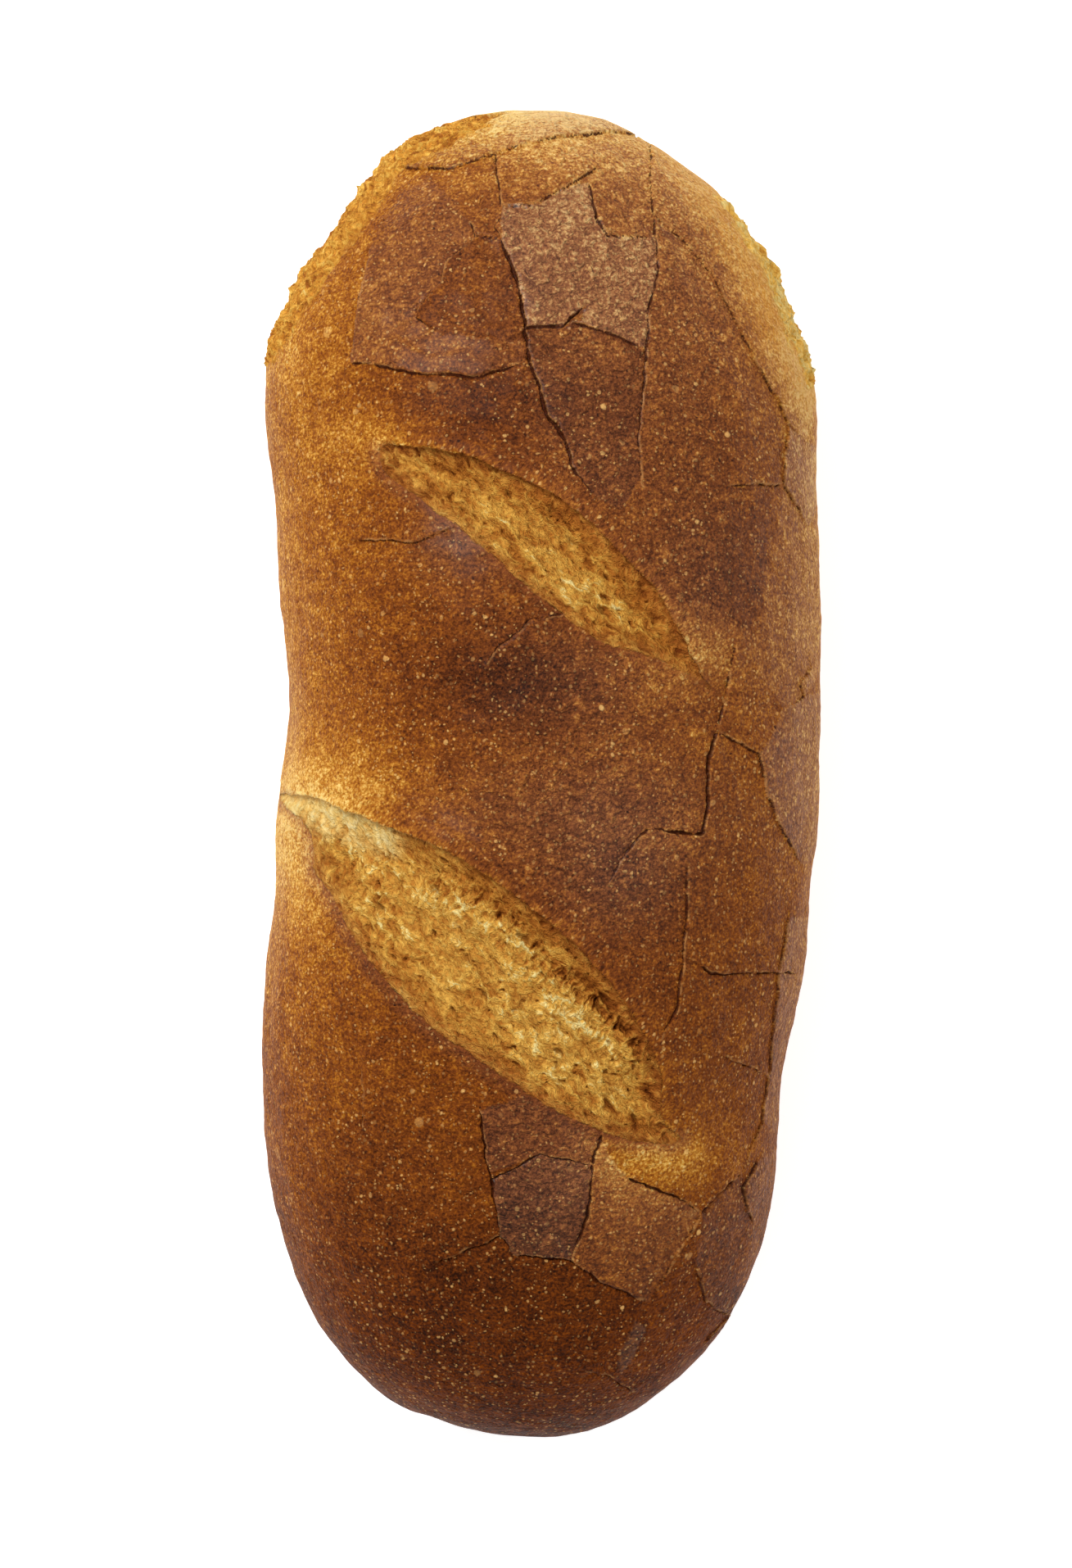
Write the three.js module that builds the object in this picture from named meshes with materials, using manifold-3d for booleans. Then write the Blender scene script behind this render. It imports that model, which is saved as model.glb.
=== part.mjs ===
// A long white hearth loaf, baked free-standing on a flat oven floor, in millimetres.
// It is one piece of bread: a flat underside, bulging sides, a domed top with round ends, and two slanted
// slashes that opened in the oven. +Y runs along the loaf, +Z is up, and the origin is the middle of the
// underside's bounding box.
import * as THREE from "three";
import { mergeVertices } from "three/addons/utils/BufferGeometryUtils.js";
import Module from "manifold-3d";

const wasm = await Module();
wasm.setup();

// Driving dimensions.
const LENGTH = 290;
const WIDTH = 120; // across the plain outline, before the swellings below
const HEIGHT = 80;
const WAIST = 25; // height of the widest line of the sides
const SAG = 3.5; // how deep the oven floor pressed the rounded underside flat

// Exponents of the outlines: higher is squarer.
const PLAN_POWER = 4.3;
const CROWN_POWER = 3;
const TOP_SECTION_POWER = 2.05;
const LOW_SECTION_POWER = 3.2;
const LOW_END_POWER = 5.5;

// How far each long side swells out from the plain outline, as [place along the loaf, swelling].
const LEFT_SWELL = [
  [-145, 4],
  [-95, 3.6],
  [-58, 1.4],
  [-15, -2],
  [14, -4.5],
  [52, -1.6],
  [95, 4.6],
  [122, 0.8],
  [145, 5],
];
const RIGHT_SWELL = [
  [-145, -5],
  [-105, -5.2],
  [-70, -6.6],
  [-38, -2.2],
  [0, 0.4],
  [60, 0.6],
  [86, 2.4],
  [110, 1],
  [145, -4],
];

// How far the crown sinks along the loaf, as [place along the loaf, rise].
const CROWN_SWELL = [
  [-145, 0],
  [-100, -2],
  [-20, 0],
  [20, 0],
  [100, -3],
  [145, 0],
];

// Each slash runs from one tip to the other. Its two edges bow out from that line, the upper one more, because
// the crust lifted there. Its floor is a scoop that deep below the crust.
const SLASHES = [
  { from: [-34, 67], to: [35.5, 17.5], upperBow: 14.3, lowerBow: 5.4, depth: 4 },
  { from: [-56, -5], to: [29, -76.5], upperBow: 18.3, lowerBow: 14.2, depth: 5.5 },
];

// Mesh density.
const RINGS = 76;
const RING_POINTS = 40;
const SLASH_STEPS = 24;
const SLASH_ROWS = 8;
const SLIVER = 0.05; // faces thinner than this, left where a slash meets the crust, are merged away

const HALF_LENGTH = LENGTH / 2;
const HALF_WIDTH = WIDTH / 2;

// A smooth curve through [place, value] pairs, read at one place.
function swellAt(pairs, place) {
  const last = pairs.length - 1;
  let i = 0;
  while (i < last - 1 && place > pairs[i + 1][0]) i += 1;
  const [startPlace, startValue] = pairs[i];
  const [endPlace, endValue] = pairs[i + 1];
  const share = THREE.MathUtils.smoothstep(place, startPlace, endPlace);
  return THREE.MathUtils.lerp(startValue, endValue, share);
}

// The other side of a rounded outline, 1 in the middle and 0 at the end: a superellipse where both powers agree.
function roundedBy(share, power, root = power) {
  return Math.max(0, 1 - Math.abs(share) ** power) ** (1 / root);
}

// The half width of one side at a place along the loaf.
function halfWidthAt(side, along) {
  const plan = roundedBy(along / HALF_LENGTH, PLAN_POWER, 2);
  const swell = swellAt(side < 0 ? LEFT_SWELL : RIGHT_SWELL, along);
  return HALF_WIDTH * plan + swell * Math.min(1, 2 * plan);
}

// How high the crown stands over the waist at a place along the loaf.
function crownRiseAt(along) {
  const crown = HEIGHT + swellAt(CROWN_SWELL, along) - WAIST;
  return crown * roundedBy(along / HALF_LENGTH, CROWN_POWER, 2);
}

// The height of the unslashed top at a place seen from above.
function topHeightAt(x, y) {
  const across = Math.min(1, Math.abs(x) / halfWidthAt(x, y));
  return WAIST + crownRiseAt(y) * roundedBy(across, TOP_SECTION_POWER);
}

// A point of the unslashed crust, by angle round the section and place along the loaf.
function crustPoint(angle, along) {
  const upper = Math.sin(angle) >= 0;
  const power = upper ? TOP_SECTION_POWER : LOW_SECTION_POWER;
  const across = Math.sign(Math.cos(angle)) * Math.abs(Math.cos(angle)) ** (2 / power);
  const rise = Math.abs(Math.sin(angle)) ** (2 / power);
  const drop = (WAIST + SAG) * roundedBy(along / HALF_LENGTH, LOW_END_POWER);
  const z = upper ? WAIST + crownRiseAt(along) * rise : WAIST - drop * rise;
  return new THREE.Vector3(across * halfWidthAt(across, along), along, Math.max(0, z));
}

// A closed mesh of rows of points, the first and last row drawn together to one point each.
function closedRows(rows, firstPoint, lastPoint) {
  const width = rows[0].length;
  const points = rows.flat();
  const first = points.push(firstPoint) - 1;
  const last = points.push(lastPoint) - 1;
  const lastRow = (rows.length - 1) * width;
  const faces = [];
  for (let i = 0; i < width; i += 1) {
    const next = (i + 1) % width;
    for (let row = 0; row < lastRow; row += width) {
      faces.push(row + i, row + width + i, row + next);
      faces.push(row + next, row + width + i, row + width + next);
    }
    faces.push(first, i, next);
    faces.push(last, lastRow + next, lastRow + i);
  }
  return new THREE.BufferGeometry().setFromPoints(points).setIndex(faces);
}

// The loaf without its slashes.
function crustGeometry() {
  const rows = [];
  for (let ring = 1; ring < RINGS; ring += 1) {
    const along = HALF_LENGTH * Math.sin(Math.PI * (ring / RINGS - 0.5));
    const angles = Array.from({ length: RING_POINTS }, (_, i) => (2 * Math.PI * (i + 0.5)) / RING_POINTS);
    rows.push(angles.map((angle) => crustPoint(angle, along)));
  }
  return closedRows(rows, crustPoint(0, -HALF_LENGTH), crustPoint(0, HALF_LENGTH));
}

// The leaf-shaped solid that a slash takes out: a scooped floor that follows the crust, under a roof in the air.
function slashGeometry(slash) {
  const RIM_RISE = 0.6; // the scoop's rim lies this far over the crust, so that the cut has a clean edge
  const ROOF_RISE = 12;
  const from = new THREE.Vector2(...slash.from);
  const run = new THREE.Vector2(...slash.to).sub(from);
  const up = new THREE.Vector2(-run.y, run.x).normalize();
  const place = (along, above, rise) => {
    const spot = from.clone().addScaledVector(run, along).addScaledVector(up, above);
    return new THREE.Vector3(spot.x, spot.y, topHeightAt(spot.x, spot.y) + rise);
  };
  const rows = [];
  for (let step = 1; step < SLASH_STEPS; step += 1) {
    const along = step / SLASH_STEPS;
    const bow = Math.sqrt(4 * along * (1 - along));
    const floor = [];
    const roof = [];
    for (let i = 0; i <= SLASH_ROWS; i += 1) {
      const out = 1 - (2 * i) / SLASH_ROWS;
      const above = out * bow * (out > 0 ? slash.upperBow : slash.lowerBow);
      const depth = (slash.depth + RIM_RISE) * bow * (1 - out * out);
      floor.push(place(along, above, RIM_RISE - depth));
      roof.unshift(place(along, above, ROOF_RISE));
    }
    rows.push([...floor, ...roof]);
  }
  return closedRows(rows, place(0, 0, RIM_RISE), place(1, 0, RIM_RISE));
}

function solidOf(geometry) {
  const bare = new THREE.BufferGeometry();
  bare.setAttribute("position", geometry.getAttribute("position"));
  bare.setIndex(geometry.getIndex());
  const merged = mergeVertices(bare);
  const vertProperties = new Float32Array(merged.getAttribute("position").array);
  const triVerts = new Uint32Array(merged.getIndex().array);
  return new wasm.Manifold(new wasm.Mesh({ numProp: 3, vertProperties, triVerts }));
}

// The slashed loaf, moved so that the origin is the middle of its bounding box's underside.
function loafGeometry() {
  let solid = solidOf(crustGeometry());
  for (const slash of SLASHES) solid = solid.subtract(solidOf(slashGeometry(slash)));
  const { vertProperties, triVerts } = solid.simplify(SLIVER).getMesh();
  const geometry = new THREE.BufferGeometry();
  geometry.setAttribute("position", new THREE.BufferAttribute(new Float32Array(vertProperties), 3));
  geometry.setIndex(new THREE.BufferAttribute(new Uint32Array(triVerts), 1));
  geometry.computeBoundingBox();
  const middle = geometry.boundingBox.getCenter(new THREE.Vector3());
  geometry.translate(-middle.x, -middle.y, -geometry.boundingBox.min.z);
  geometry.computeVertexNormals();
  return geometry;
}

const crust = new THREE.MeshStandardMaterial({ color: 0x8a5028, roughness: 0.55, metalness: 0 });
const loaf = new THREE.Mesh(loafGeometry(), crust);
loaf.name = "loaf";

const group = new THREE.Group();
group.add(loaf);

export default group;
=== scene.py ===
"""A long white hearth loaf with a crackled brown crust and two slashes that opened in the oven."""

import math

import bmesh
import bpy
import numpy as np
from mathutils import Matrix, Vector


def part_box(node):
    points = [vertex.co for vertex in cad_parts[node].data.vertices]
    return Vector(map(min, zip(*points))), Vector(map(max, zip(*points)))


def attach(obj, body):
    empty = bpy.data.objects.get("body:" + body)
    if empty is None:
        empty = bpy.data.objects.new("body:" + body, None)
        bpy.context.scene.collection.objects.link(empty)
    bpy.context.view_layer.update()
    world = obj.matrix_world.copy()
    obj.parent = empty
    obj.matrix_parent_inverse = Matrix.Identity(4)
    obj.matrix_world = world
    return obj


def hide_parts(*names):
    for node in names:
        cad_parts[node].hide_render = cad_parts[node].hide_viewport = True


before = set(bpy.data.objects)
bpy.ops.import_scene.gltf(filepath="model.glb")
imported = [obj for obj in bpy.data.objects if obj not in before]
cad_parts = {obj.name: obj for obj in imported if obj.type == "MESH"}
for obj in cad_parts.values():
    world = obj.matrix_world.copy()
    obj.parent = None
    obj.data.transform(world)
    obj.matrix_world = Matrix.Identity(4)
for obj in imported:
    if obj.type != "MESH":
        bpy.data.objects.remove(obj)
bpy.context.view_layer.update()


# ---------------------------------------------------------------------------------------------------------
# The loaf itself: one piece of bread, crust and crumb together. The dough was rolled long, proved, slashed
# twice with a blade and baked on a flat oven floor between two other loaves, which it was torn away from.
# It only rests, on its flat underside. One node tree makes its shape, and works in millimetres.
# ---------------------------------------------------------------------------------------------------------


class Tree:
    """A node tree that is being written, for shapes or for shaders."""

    def __init__(self, nodes_and_links):
        self.tree = nodes_and_links

    def node(self, kind, settings=None, values=None):
        """Adds any node: first its settings, then the values or wires of its sockets, by name or place."""
        made = self.tree.nodes.new(kind)
        for name, value in (settings or {}).items():
            setattr(made, name, value)
        for name, value in (values or {}).items():
            if isinstance(name, int):
                socket = made.inputs[name]
            else:
                socket = next(s for s in made.inputs if s.name == name and s.enabled)
            if isinstance(value, Wire):
                self.tree.links.new(value.socket, socket)
            else:
                socket.default_value = value
        return Wire(self, next((s for s in made.outputs if s.enabled), None))

    def mix(self, share, low, high):
        """Goes from low to high as share goes from 0 to 1."""
        return low + (high - low) * share

    def vector(self, operation, *values, scale=None):
        """Arithmetic on vectors and colours."""
        given = dict(enumerate(values))
        if scale is not None:
            given["Scale"] = scale
        return self.node("ShaderNodeVectorMath", {"operation": operation}, given)

    def point(self, x, y, z):
        """A vector from its three numbers."""
        return self.node("ShaderNodeCombineXYZ", None, {0: x, 1: y, 2: z})

    def blend(self, share, low, high):
        """Mixes two colours."""
        return self.node("ShaderNodeMix", {"data_type": "RGBA"}, {"Factor": share, "A": low, "B": high})

    def step(self, wire, start, end, low=0.0, high=1.0):
        """A smooth step from low to high while the wire goes from start to end."""
        values = {"Value": wire, "From Min": start, "From Max": end, "To Min": low, "To Max": high}
        return self.node("ShaderNodeMapRange", {"interpolation_type": "SMOOTHSTEP"}, values)

    def noise(self, place, size, detail=2.0, roughness=0.5, seed=0.0):
        """Smooth noise from about -1 to 1 with lumps of that size."""
        moved = self.vector("ADD", place, (seed * 37.1, seed * 91.7, seed * 53.3))
        values = {"Vector": moved, "Scale": 1 / size, "Detail": detail, "Roughness": roughness}
        return self.node("ShaderNodeTexNoise", None, values) * 2 - 1

    def cells(self, place, size, feature="F1", seed=0.0):
        """The distance in cells of about that size. The same node also gives each cell its own colour."""
        moved = self.vector("ADD", place, (seed * 17.3, seed * 71.9, seed * 29.1))
        return self.node("ShaderNodeTexVoronoi", {"feature": feature}, {"Vector": moved, "Scale": 1 / size})


class Wire:
    """One output socket. Arithmetic on wires adds Math nodes."""

    def __init__(self, owner, socket):
        self.owner = owner
        self.socket = socket

    def out(self, name):
        """Another output of the same node."""
        found = next(s for s in self.socket.node.outputs if s.name == name and s.enabled)
        return Wire(self.owner, found)

    def math(self, operation, *values):
        """A Math node with those values or wires."""
        return self.owner.node("ShaderNodeMath", {"operation": operation}, dict(enumerate(values)))

    def __add__(self, other):
        return self.math("ADD", self, other)

    def __sub__(self, other):
        return self.math("SUBTRACT", self, other)

    def __mul__(self, other):
        return self.math("MULTIPLY", self, other)

    def __truediv__(self, other):
        return self.math("DIVIDE", self, other)

    def __pow__(self, other):
        return self.math("POWER", self, other)

    def __radd__(self, other):
        return self.math("ADD", other, self)

    def __rsub__(self, other):
        return self.math("SUBTRACT", other, self)

    def __rmul__(self, other):
        return self.math("MULTIPLY", other, self)

    def __lt__(self, other):
        return self.math("LESS_THAN", self, other)

    def __gt__(self, other):
        return self.math("GREATER_THAN", self, other)

    def __abs__(self):
        return self.math("ABSOLUTE", self)

    def least(self, other):
        return self.math("MINIMUM", self, other)

    def most(self, other):
        return self.math("MAXIMUM", self, other)

    def parts(self):
        """The three numbers of a vector."""
        split = self.owner.node("ShaderNodeSeparateXYZ", None, {0: self})
        return split.out("X"), split.out("Y"), split.out("Z")


MM = 1000  # millimetres in a metre, which the frame is in
low_corner, high_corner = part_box("loaf")
LENGTH = (high_corner.y - low_corner.y) * MM
HEIGHT = high_corner.z * MM
WIDTH = (high_corner.x - low_corner.x) * MM - 1  # across the plain outline, before the swellings below
WAIST = 25  # height of the widest line of the sides
SAG = 3.5  # how deep the oven floor pressed the rounded underside flat

# Exponents of the outlines: higher is squarer.
PLAN_POWER = 4.3
CROWN_POWER = 3
FOOT_POWER = 14
TOP_SECTION_POWER = 2.05
LOW_SECTION_POWER = 3.2

# How far each long side swells out from the plain outline, and the crown up, as (place along, swelling).
LEFT_SWELL = [
    (-145, 4), (-95, 3.6), (-58, 1.4), (-15, -2), (14, -4.5), (52, -1.6), (95, 4.6), (122, 0.8), (145, 5),
]
RIGHT_SWELL = [
    (-145, -5), (-105, -5.2), (-70, -6.6), (-38, -2.2), (0, 0.4), (60, 0.6), (86, 2.4), (110, 1), (145, -4),
]
CROWN_SWELL = [(-145, 0), (-100, -2), (-20, 0), (20, 0), (100, -3), (145, 0)]

# The slashes: the edge nearer the loaf's far end, whose crust lifted, and the edge that stayed down.
NARROW_LIFTED = [
    (-34, 67), (-31, 68.5), (-17.5, 67), (-8.5, 63.5), (4.5, 57), (14, 48.5), (25, 36.5), (32, 22),
    (35.5, 17.5),
]
NARROW_LOW = [
    (-34, 67), (-32.5, 63), (-27, 58.5), (-17.5, 51), (-6.5, 41.5), (3, 34), (11.5, 27.5), (21.5, 24.5),
    (30.5, 20.5), (35.5, 17.5),
]
WIDE_LIFTED = [
    (-57.5, -4.5), (-47, -5), (-33, -9.5), (-19.5, -15), (-5.5, -24), (8, -35.5), (18.5, -48.5),
    (24.5, -61), (25, -71), (29, -76.5),
]
WIDE_LOW = [
    (-57.5, -4.5), (-49.5, -11.5), (-48, -20.5), (-44.5, -25), (-38, -36), (-27, -48.5), (-16, -57),
    (-2, -66.5), (12.5, -74), (24, -77), (29, -76.5),
]
# Where strands of crumb tore last, down the middle of the wide slash, and the pale skin along its upper end.
TORN_RIDGE = [(-24, -24.5), (-10.5, -31), (-0.5, -41.5), (10, -50), (18.5, -58.5)]
PALE_SKIN = [(-56, -6), (-46, -8), (-40, -10.5), (-33, -13.5)]

# Each corner at the far end was torn from a neighbouring loaf: the outlines of what shows its crumb.
TORN_CORNERS = [
    [(-9, 143.5), (-11, 140.5), (-20, 134.5), (-31, 129.5), (-33.5, 124.5), (-38.5, 117.5), (-43, 111.5),
     (-47.5, 103.5), (-52, 97), (-58, 89), (-80, 88), (-80, 160), (-9, 160)],
    [(25, 142), (33, 134), (37.5, 126.5), (42, 118.5), (47, 110.5), (50, 102.5), (52.5, 95), (58, 84),
     (80, 82), (80, 160), (26, 160)],
]

# Cracks that opened as the crust cooled and shrank, seen from above: how wide each is, and its line.
CRACKS = [
    (0.30, [(-10, 133.5), (-9, 122.5), (-8.5, 117.5)]),
    (0.30, [(-8.5, 117.5), (-10, 115), (-8.5, 112)]),
    (0.55, [(-8.5, 112), (-5.5, 104.5), (-3, 91), (-2.5, 85.5), (1, 75), (5.5, 68), (6.5, 62.5),
            (11.5, 56.5)]),
    (0.35, [(-15, 116.5), (-14, 113), (-8.5, 112)]),
    (0.35, [(24, 139.5), (23, 127.5), (24, 113), (24.5, 105.5), (22.5, 97.5), (22, 88.5), (20, 71),
            (21.5, 43)]),
    (0.35, [(-8.5, 120), (-3.5, 119.5), (5, 123.5), (13, 129.5)]),
    (0.45, [(10, 125), (11.5, 116.5), (14, 113), (24, 113)]),
    (0.45, [(-3.5, 92.5), (4, 93.5), (9.5, 98)]),
    (0.30, [(6.5, 94), (14, 91.5), (21.5, 88.5)]),
    (0.40, [(-40, 86.5), (-24.5, 83), (-13, 82.5), (-2.5, 85.5)]),
    (0.25, [(-14, 113), (-20, 107.5), (-21.5, 103), (-26, 97.5), (-26, 95), (-21, 91.5)]),
    (0.40, [(-33, 130.5), (-19.5, 129), (-3.5, 134.5), (7, 136.5), (23, 139.5)]),
    (0.25, [(-39.5, 49), (-26, 48), (-18, 51)]),
    (0.25, [(4, 33), (-2.5, 31.5), (-10, 25), (-12, 21.5)]),
    (0.35, [(40.5, 26.5), (37, 9)]),
    (0.70, [(37, 9), (35, 3.5), (34.5, -6.5), (33.5, -12.5), (29.5, -12.5), (22, -11)]),
    (0.30, [(22, -11), (17.5, -16), (13, -23.5)]),
    (0.30, [(30, -19.5), (30, -29.5), (28, -49), (23.5, -55.5)]),
    (0.40, [(30.5, -38.5), (35, -41.5), (55.5, -42.5)]),
    (0.30, [(37.5, 8.5), (45.5, 4), (47, -4), (51, -12.5), (55.5, -19.5)]),
    (0.45, [(12.5, -74.5), (10.5, -81), (9.5, -92), (6, -101.5)]),
    (0.35, [(-10.5, -84.5), (-0.5, -78.5), (10.5, -81)]),
    (0.45, [(-5.5, -100), (6, -101.5), (12.5, -106.5), (22.5, -111)]),
    (0.45, [(-13, -70), (-11, -83), (-8.5, -96)]),
    (0.30, [(-22, -102.5), (-8.5, -96), (-5.5, -100)]),
    (0.40, [(18, -84), (30, -89.5), (33.5, -92.5)]),
    (0.55, [(33.5, -92.5), (38, -88), (42.5, -84.5)]),
    (0.20, [(33.5, -92.5), (27.5, -102.5), (22.5, -111)]),
    (0.60, [(46, -83), (42.5, -88), (43.5, -92.5), (45.5, -96)]),
    (0.30, [(23.5, 118), (30, 113), (36, 106), (43, 91.5), (52.5, 75), (57, 71.5)]),
    (0.30, [(52.5, 75), (51.5, 61.5), (57.5, 53.5)]),
    (0.30, [(39, 60), (51.5, 61.5)]),
    (0.25, [(57.5, 23.5), (54.5, 19), (55.5, 16.5), (51, 13.5)]),
    (0.30, [(52.5, -30.5), (50.5, -42.5), (49, -64), (47, -74.5), (42.5, -84.5)]),
    (0.25, [(38.5, -59.5), (49, -64.5)]),
    (0.40, [(32.5, -104), (35, -112.5), (40.5, -117.5)]),
    (0.35, [(9.5, -126.5), (13.5, -127.5), (20, -132.5)]),
    (0.50, [(40.5, -117.5), (34.5, -122.5)]),
    (0.20, [(-38, -61), (-37, -68.5), (-38, -75.5)]),
    (0.20, [(-36.5, 112), (-39, 97.5), (-40, 86.5)]),
]
# The plates between them differ: how much darker each is, how much it shines (a glossier coat and painted
# reflection in its colour), and its outline.
PLATES = [
    (-0.05, 0.6, [(-33, 130.5), (-19.5, 129), (-3.5, 134.5), (7, 136.5), (23, 139.5), (27, 150), (-14, 152),
                  (-36, 138)]),
    (-0.18, 1, [(-8.5, 120), (-0.5, 120.5), (5, 123.5), (10, 125), (11.5, 116.5), (14, 113), (24, 113),
                (24.5, 105.5), (22.5, 97.5), (22, 88.5), (14, 91.5), (7.5, 94), (9.5, 98), (4, 93.5),
                (-3.5, 92.5), (-5.5, 104.5), (-8.5, 112)]),
    (0.04, 0.5, [(-3.5, 92.5), (6.5, 94), (14, 91.5), (21.5, 88.5), (20, 71), (20.5, 61), (16.5, 54),
                 (11.5, 56.5), (6.5, 62.5), (5.5, 68), (1, 75), (-2.5, 85.5)]),
    (0.06, 0.1, [(-14, 113), (-8.5, 112), (-5.5, 104.5), (-3, 91), (-10.5, 90.5), (-21, 91.5), (-26, 95),
                 (-26, 97.5), (-21.5, 103), (-20, 107.5)]),
    (-0.05, 0.35, [(-40, 86.5), (-24.5, 83), (-13, 82.5), (-2.5, 85.5), (-3, 91), (-10.5, 90.5),
                   (-21, 91.5), (-26, 95), (-36.5, 94)]),
    (-0.02, 0.4, [(-40, 86.5), (-39, 97.5), (-36.5, 112), (-31.5, 123), (-24.5, 127.5), (-17.5, 120),
                  (-15, 116.5), (-14, 113), (-20, 107.5), (-21.5, 103), (-26, 97.5), (-26, 95),
                  (-36.5, 94)]),
    (-0.04, 0.8, [(-10.5, -84.5), (-0.5, -78.5), (10.5, -81), (9.5, -92), (6, -101.5), (-5.5, -100),
                  (-8.5, -96)]),
    (-0.12, 0.4, [(12.5, -74.5), (10.5, -81), (9.5, -92), (6, -101.5), (12.5, -106.5), (22.5, -111),
                  (27.5, -102.5), (33.5, -92.5), (30, -89.5), (18, -84), (15, -81)]),
    (-0.02, 0.5, [(-13, -70), (-11, -83), (-0.5, -78.5), (10.5, -81), (12.5, -74.5), (5, -69.5),
                  (-3.5, -66)]),
    (0.05, 0, [(-22, -102.5), (-8.5, -96), (-5.5, -100), (6, -101.5), (12.5, -106.5), (22.5, -111),
               (22.5, -120.5), (13.5, -127.5), (-10.5, -131.5), (-31.5, -121), (-33, -110)]),
    (-0.1, 0.4, [(43, 91.5), (52.5, 75), (57, 71.5), (60.5, 81.5), (57.5, 87.5), (52.5, 94)]),
    (-0.1, 0.6, [(52.5, 75), (51.5, 61.5), (57.5, 53.5), (62, 62), (60, 71), (57, 71.5)]),
    (-0.08, 0.35, [(51.5, 61.5), (48, 42.5), (43, 25), (51, 13.5), (55.5, 16.5), (62, 25), (62, 53),
                   (57.5, 53.5)]),
    (-0.05, 0.5, [(45.5, 4), (47, -4), (51, -12.5), (55.5, -19.5), (62, -17), (62, 18), (55.5, 16.5),
                  (51, 13.5)]),
    (-0.12, 0.5, [(52.5, -30.5), (50.5, -42.5), (49, -64), (47, -74.5), (54, -80), (58, -65), (60, -31)]),
    (-0.07, 0.5, [(46, -83), (42.5, -88), (43.5, -92.5), (45.5, -96), (43, -108.5), (40.5, -117.5),
                  (48, -112), (56, -87), (54, -80)]),
    (0, 0.3, [(32.5, -104), (35, -112.5), (40.5, -117.5), (43, -108.5), (45.5, -96), (43.5, -92.5),
              (42.5, -84.5), (33.5, -92.5)]),
    (-0.08, 0.8, [(19.5, -115), (16, -124.5), (16.5, -128), (18.5, -125), (22, -116.5)]),
]


def guide(name, lines, closed=False, notes=None):
    """Lines or flat outlines on the plan as one mesh, which the node tree measures from. Each line's note is
    three numbers that are stored on its points."""
    shape = bmesh.new()
    note_layer = shape.verts.layers.float_vector.new("note")
    for number, line in enumerate(lines):
        corners = [shape.verts.new((x, y, number * 0.01)) for x, y in line]
        for corner in corners:
            corner[note_layer] = notes[number] if notes else (0, 0, 0)
        if closed:
            shape.faces.new(corners)
        else:
            for first, second in zip(corners, corners[1:]):
                shape.edges.new((first, second))
    mesh = bpy.data.meshes.new(name)
    shape.to_mesh(mesh)
    shape.free()
    return bpy.data.objects.new(name, mesh)


def rounded(line, steps=6):
    """A smooth curve through the line's points, with that many steps from each point to the next."""
    ends = [line[0], *line, line[-1]]
    curve = []
    for before, start, end, after in zip(ends, ends[1:], ends[2:], ends[3:]):
        for step in range(steps):
            t = step / steps
            weights = (
                (-t + 2 * t**2 - t**3) / 2,
                (2 - 5 * t**2 + 3 * t**3) / 2,
                (t + 4 * t**2 - 3 * t**3) / 2,
                (-(t**2) + t**3) / 2,
            )
            four = list(zip(weights, (before, start, end, after)))
            curve.append(tuple(sum(weight * point[axis] for weight, point in four) for axis in (0, 1)))
    return [*curve, line[-1]]


def leaf(lifted, low):
    """The closed outline between a slash's two edges."""
    return [*rounded(lifted), *reversed(rounded(low)[1:-1])]


guides = {
    "Cracks": guide(
        "crack_lines",
        [line for _, line in CRACKS],
        notes=[(width, 0, 0) for width, _ in CRACKS],
    ),
    "Plates": guide(
        "plate_outlines",
        [outline for _, _, outline in PLATES],
        closed=True,
        notes=[(darker, sheen, 0) for darker, sheen, _ in PLATES],
    ),
    "Narrow Leaf": guide("narrow_slash_outline", [leaf(NARROW_LIFTED, NARROW_LOW)], closed=True),
    "Narrow Lifted Edge": guide("narrow_slash_lifted_edge", [rounded(NARROW_LIFTED)]),
    "Narrow Low Edge": guide("narrow_slash_low_edge", [rounded(NARROW_LOW)]),
    "Wide Leaf": guide("wide_slash_outline", [leaf(WIDE_LIFTED, WIDE_LOW)], closed=True),
    "Wide Lifted Edge": guide("wide_slash_lifted_edge", [rounded(WIDE_LIFTED)]),
    "Wide Low Edge": guide("wide_slash_low_edge", [rounded(WIDE_LOW)]),
    "Torn Corners": guide("torn_corner_outlines", TORN_CORNERS, closed=True),
    "Torn Ridge": guide("torn_ridge_line", [rounded(TORN_RIDGE)]),
    "Pale Skin": guide("pale_skin_line", [rounded(PALE_SKIN)]),
}
SIZES = {  # the node tree's named numbers, in millimetres
    "Length": LENGTH,
    "Width": WIDTH,
    "Height": HEIGHT,
    "Waist": WAIST,
    "Sag": SAG,
    "Narrow Depth": 3.8,
    "Wide Depth": 4.4,
    "Lip Rise": 1.1,
    "Lip Reach": 0.9,
    "Crack Depth": 1.1,
    "Crack Step": 0.22,
    "Pore Depth": 1.2,
}


def shape_tree(name, numbers, objects):
    """An empty Geometry Nodes tree with those inputs, and the wires that bring them in."""
    group = bpy.data.node_groups.new(name, "GeometryNodeTree")
    group.interface.new_socket("Geometry", in_out="INPUT", socket_type="NodeSocketGeometry")
    group.interface.new_socket("Geometry", in_out="OUTPUT", socket_type="NodeSocketGeometry")
    for title, value in numbers.items():
        group.interface.new_socket(title, in_out="INPUT", socket_type="NodeSocketFloat").default_value = value
    for title in objects:
        group.interface.new_socket(title, in_out="INPUT", socket_type="NodeSocketObject")
    group.interface.new_socket("Refined", in_out="INPUT", socket_type="NodeSocketBool")
    t = Tree(group)
    entry = t.node("NodeGroupInput")
    wires = {title: entry.out(title) for title in (*numbers, *objects)}
    for title in objects:
        wires[title] = t.node("GeometryNodeObjectInfo", None, {"Object": wires[title]}).out("Geometry")
    return t, entry, wires


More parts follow.
